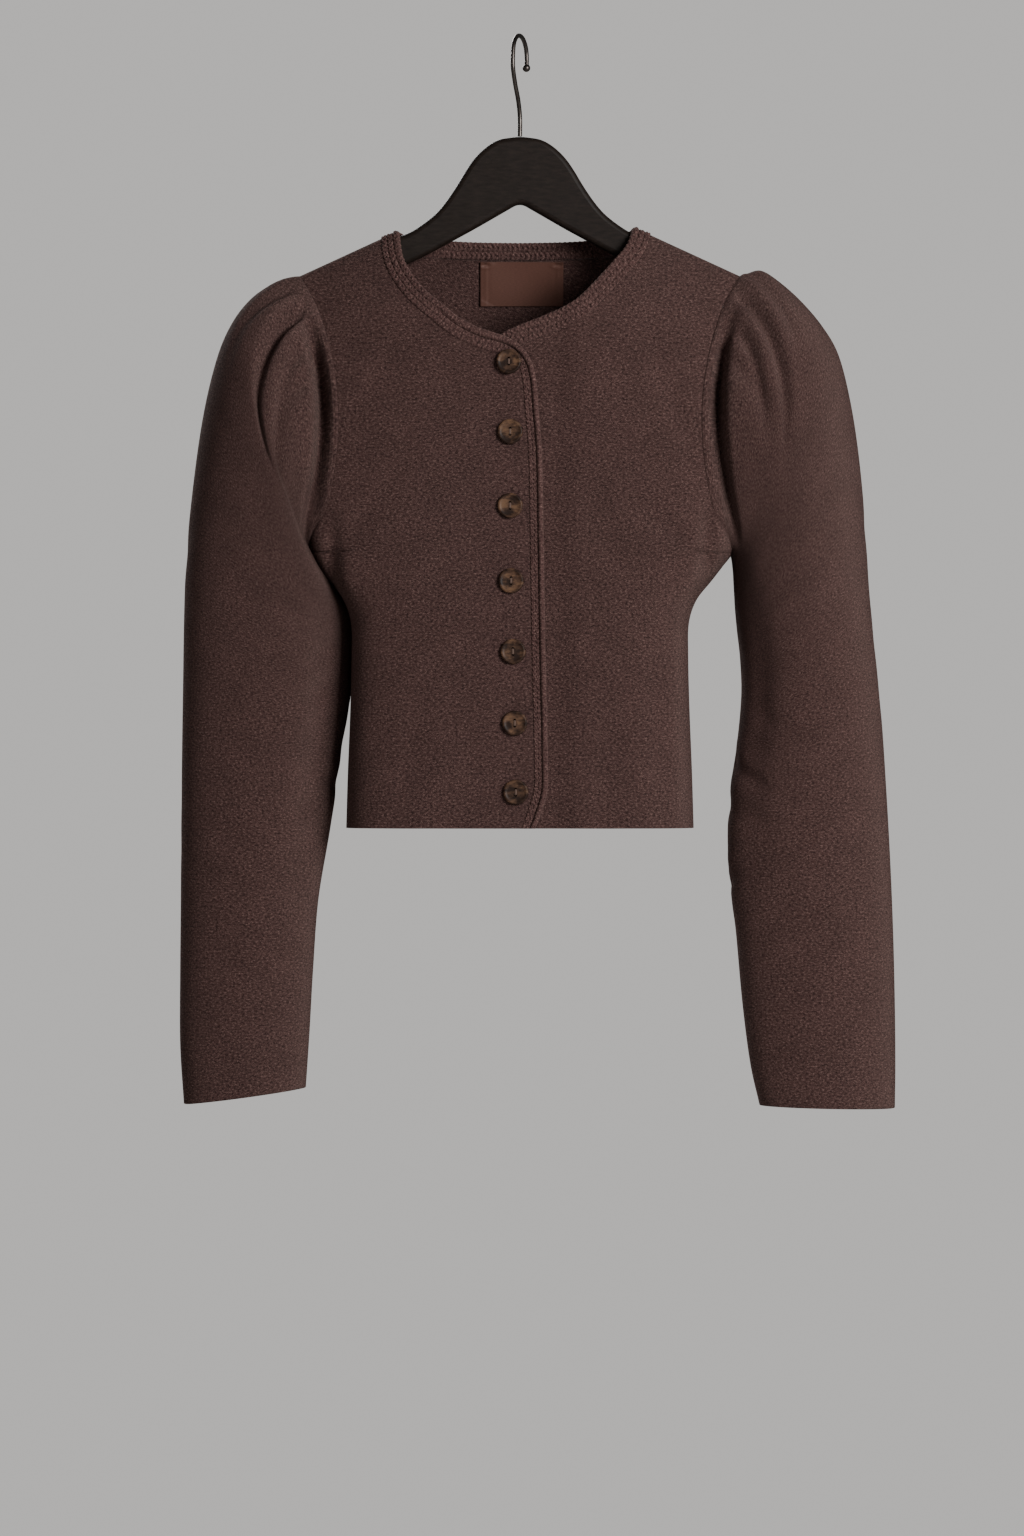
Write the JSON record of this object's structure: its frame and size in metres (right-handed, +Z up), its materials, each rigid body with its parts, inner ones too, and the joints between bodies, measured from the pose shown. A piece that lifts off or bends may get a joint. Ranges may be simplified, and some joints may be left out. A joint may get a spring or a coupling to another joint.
{
  "type": "cardigan on a clothes hanger",
  "caption": "Cropped knitted cardigan with puffed sleeves, buttoned up and hanging on a wooden clothes hanger with a wire hook.",
  "frame": {"origin": "the inside top of the hook, where a rail carries it", "axes": "+Z up, -Y towards the front of the cardigan, +X towards the wearer's left"},
  "size_m": [0.5436, 0.1546, 0.8156],
  "materials": {
    "wool_knit": "heathered plum-brown fine wool knit, slightly fuzzy",
    "wool_band": "heathered plum-brown wool band with chain-stitch ridges",
    "horn": "dark marbled horn, polished",
    "label_satin": "plain brown woven satin",
    "black_wood": "matt black stained wood",
    "dark_steel": "dark burnished steel wire"
  },
  "bodies": {
    "root": {"back": "wool_knit", "front_right": "wool_knit", "front_left": "wool_knit", "sleeve_right": "wool_knit", "sleeve_left": "wool_knit", "neckband_right": "wool_band", "neckband_left": "wool_band", "neckband_back": "wool_band", "front_band": "wool_band", "button_1": "horn", "button_2": "horn", "button_3": "horn", "button_4": "horn", "button_5": "horn", "button_6": "horn", "button_7": "horn", "label": "label_satin", "hanger": "black_wood", "hook": "dark_steel"}
  },
  "joints": []
}
